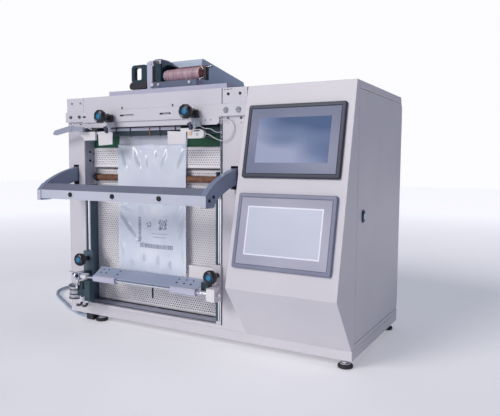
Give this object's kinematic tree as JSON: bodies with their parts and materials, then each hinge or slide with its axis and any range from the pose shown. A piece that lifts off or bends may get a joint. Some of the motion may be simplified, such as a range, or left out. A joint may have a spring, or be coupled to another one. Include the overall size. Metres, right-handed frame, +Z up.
{
  "type": "tabletop bagging and heat-sealing machine",
  "caption": "Tabletop bag sealer with film feed rollers, a swinging heat-seal jaw, a height-adjustable bag shelf, a ribbon printer and a sloping control cabinet.",
  "frame": {"origin": "centre of the machine's bounding box (without its air hose), on the surface that its feet stand on", "axes": "+Z up; +X towards the control cabinet's side; +Y towards the back, so the operator stands at -Y"},
  "size_m": [0.9989, 0.509, 0.636],
  "materials": {
    "body_paint": "satin",
    "jaw_paint": "satin",
    "plate_steel": "satin perforated",
    "steel": "brushed",
    "chrome": "polished",
    "black_plastic": "matte",
    "blue_grey_plastic": "matte",
    "bezel": "matte",
    "screen": "gloss",
    "rubber": "matte",
    "roller_rubber": "matte",
    "seal_sleeve": "satin",
    "silicone": "matte",
    "green_paint": "satin",
    "teal_paint": "satin",
    "white_plastic": "matte",
    "film": "translucent film",
    "ribbon": "satin",
    "hose": "satin"
  },
  "bodies": {
    "machine": {"base_frame": "body_paint", "foot_front_left": "rubber", "foot_front_right": "rubber", "foot_rear_left": "rubber", "foot_rear_right": "rubber", "left_side_panel": "body_paint", "front_panel": "body_paint", "rear_panel": "body_paint", "top_panel": "body_paint", "header_plate": "body_paint", "slotted_beam": "body_paint", "upper_guide_plate": "plate_steel", "lower_guide_plate": "plate_steel", "green_guide_bar": "green_paint", "left_rail": "chrome", "right_rail": "chrome", "film_guide_fingers": "black_plastic", "poly_bag": "film", "feed_motor": "black_plastic", "jaw_bearing_left": "steel", "jaw_bearing_right": "steel", "jaw_gearmotor": "black_plastic", "cabinet_shell": "body_paint", "upper_panel_bezel": "bezel", "upper_panel_screen": "screen", "lower_panel_bezel": "bezel", "lower_panel_screen": "screen", "controller": "black_plastic", "power_supply": "steel", "power_inlet": "black_plastic", "air_fitting": "black_plastic", "printer_frame": "blue_grey_plastic", "printer_housing": "black_plastic", "printer_hood": "blue_grey_plastic", "air_hose": "hose"},
    "jaw": {"jaw_bar": "jaw_paint", "jaw_pad": "silicone", "jaw_arm_left": "jaw_paint", "jaw_arm_right": "jaw_paint", "jaw_shaft": "steel"},
    "feed_roller": {"feed_roller": "roller_rubber"},
    "nip_roller": {"nip_roller": "roller_rubber"},
    "seal_roller": {"seal_roller": "seal_sleeve"},
    "nip_lever": {"nip_lever": "jaw_paint"},
    "left_guide": {"left_bag_guide": "white_plastic"},
    "left_guide_knob": {"left_guide_knob": "black_plastic"},
    "right_guide": {"right_bag_guide": "white_plastic", "bag_sensor": "white_plastic"},
    "right_guide_knob": {"right_guide_knob": "black_plastic"},
    "shelf_carriage": {"left_shelf_slide": "teal_paint", "right_shelf_slide": "body_paint", "shelf_actuator": "teal_paint"},
    "shelf": {"shelf_rod": "chrome", "bag_shelf": "jaw_paint"},
    "left_shelf_knob": {"left_shelf_knob": "black_plastic"},
    "right_shelf_knob": {"right_shelf_knob": "black_plastic"},
    "door": {"side_door": "body_paint"},
    "latch": {"door_latch": "blue_grey_plastic"},
    "ribbon_supply": {"ribbon_supply_roll": "ribbon"},
    "ribbon_takeup": {"ribbon_takeup_roll": "ribbon"}
  },
  "joints": [
    {"name": "jaw_swing", "type": "hinge", "parent": "machine", "child": "jaw", "pos_m": [-0.1115, -0.0545, 0.086], "axis": [-1, 0, 0], "range_deg": [0, 18.5]},
    {"name": "feed_roller_spin", "type": "hinge", "parent": "machine", "child": "feed_roller", "pos_m": [-0.1115, -0.0885, 0.465], "axis": [1, 0, 0], "continuous": true},
    {"name": "nip_roller_spin", "type": "hinge", "parent": "machine", "child": "nip_roller", "pos_m": [-0.1115, -0.068, 0.467], "axis": [1, 0, 0], "continuous": true},
    {"name": "seal_roller_spin", "type": "hinge", "parent": "machine", "child": "seal_roller", "pos_m": [-0.1115, -0.0765, 0.3565], "axis": [1, 0, 0], "continuous": true},
    {"name": "nip_lever_turn", "type": "hinge", "parent": "machine", "child": "nip_lever", "pos_m": [-0.3205, -0.1395, 0.473], "axis": [0, 1, 0], "range_deg": [0, 60]},
    {"name": "left_guide_slide", "type": "slide", "parent": "machine", "child": "left_guide", "axis": [1, 0, 0], "range_m": [-0.02, 0.06]},
    {"name": "left_guide_knob_turn", "type": "hinge", "parent": "left_guide", "child": "left_guide_knob", "pos_m": [-0.2155, -0.1485, 0.497], "axis": [0, -1, 0], "range_deg": [-90, 180]},
    {"name": "right_guide_slide", "type": "slide", "parent": "machine", "child": "right_guide", "axis": [1, 0, 0], "range_m": [-0.06, 0.02]},
    {"name": "right_guide_knob_turn", "type": "hinge", "parent": "right_guide", "child": "right_guide_knob", "pos_m": [0.0235, -0.1485, 0.499], "axis": [0, -1, 0], "range_deg": [-90, 180]},
    {"name": "shelf_lift", "type": "slide", "parent": "machine", "child": "shelf_carriage", "axis": [0, 0, 1], "range_m": [-0.04, 0.11]},
    {"name": "shelf_tip", "type": "hinge", "parent": "shelf_carriage", "child": "shelf", "pos_m": [-0.1115, -0.1445, 0.12], "axis": [1, 0, 0], "range_deg": [-75, 0]},
    {"name": "left_shelf_knob_turn", "type": "hinge", "parent": "shelf_carriage", "child": "left_shelf_knob", "pos_m": [-0.297, -0.1385, 0.1585], "axis": [0, -1, 0], "range_deg": [-90, 180]},
    {"name": "right_shelf_knob_turn", "type": "hinge", "parent": "shelf_carriage", "child": "right_shelf_knob", "pos_m": [0.0775, -0.1385, 0.1545], "axis": [0, -1, 0], "range_deg": [-90, 180]},
    {"name": "door_swing", "type": "hinge", "parent": "machine", "child": "door", "pos_m": [0.3765, 0.2215, 0.288], "axis": [0, 0, 1], "range_deg": [0, 110]},
    {"name": "latch_turn", "type": "hinge", "parent": "door", "child": "latch", "pos_m": [0.3765, -0.0595, 0.292], "axis": [1, 0, 0], "range_deg": [0, 90]},
    {"name": "ribbon_supply_spin", "type": "hinge", "parent": "machine", "child": "ribbon_supply", "pos_m": [-0.0635, -0.0425, 0.595], "axis": [1, 0, 0], "continuous": true},
    {"name": "ribbon_takeup_spin", "type": "hinge", "parent": "machine", "child": "ribbon_takeup", "pos_m": [-0.0635, -0.0239, 0.612], "axis": [1, 0, 0], "continuous": true}
  ],
  "couplings": [
    {"joint": "nip_roller_spin", "follows": "feed_roller_spin", "ratio": -1.1111},
    {"joint": "ribbon_takeup_spin", "follows": "ribbon_supply_spin", "ratio": 3.55}
  ]
}
